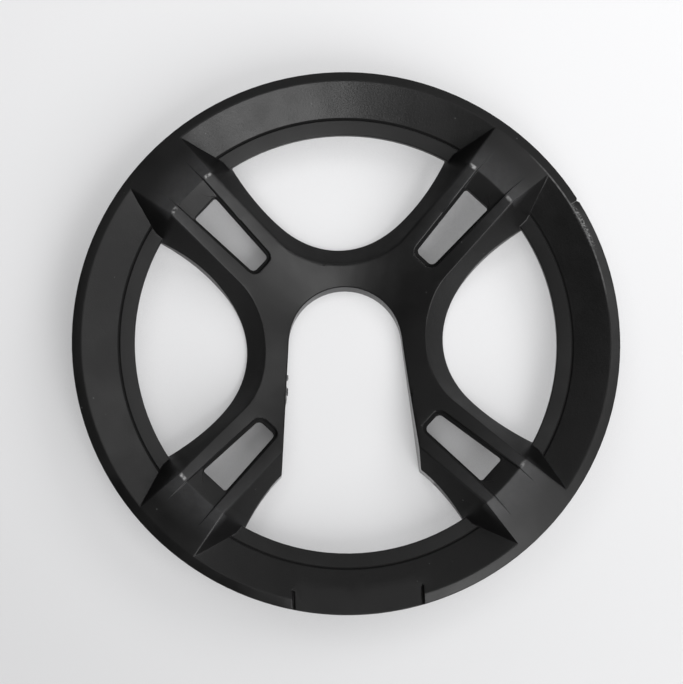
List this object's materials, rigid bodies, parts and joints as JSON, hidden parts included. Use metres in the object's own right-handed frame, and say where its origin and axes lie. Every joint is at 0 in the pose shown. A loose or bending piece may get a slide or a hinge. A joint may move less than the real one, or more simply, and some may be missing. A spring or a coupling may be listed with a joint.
{
  "type": "bicycle chain guard",
  "caption": "Round dished chain guard in one moulding: slotted arms join a hub, open on one side for the crank, to an outer ring with a raised rim.",
  "frame": {"origin": "on the disc's axis, in the plane of the hub's back, on which the guard lies", "axes": "+Z along the disc's axis towards its outer face, -Y towards the open side of the crank opening"},
  "size_m": [0.182, 0.182, 0.0264],
  "materials": {
    "plastic": "fine moulded grain"
  },
  "bodies": {
    "root": {"chain_guard": "plastic"}
  },
  "joints": []
}
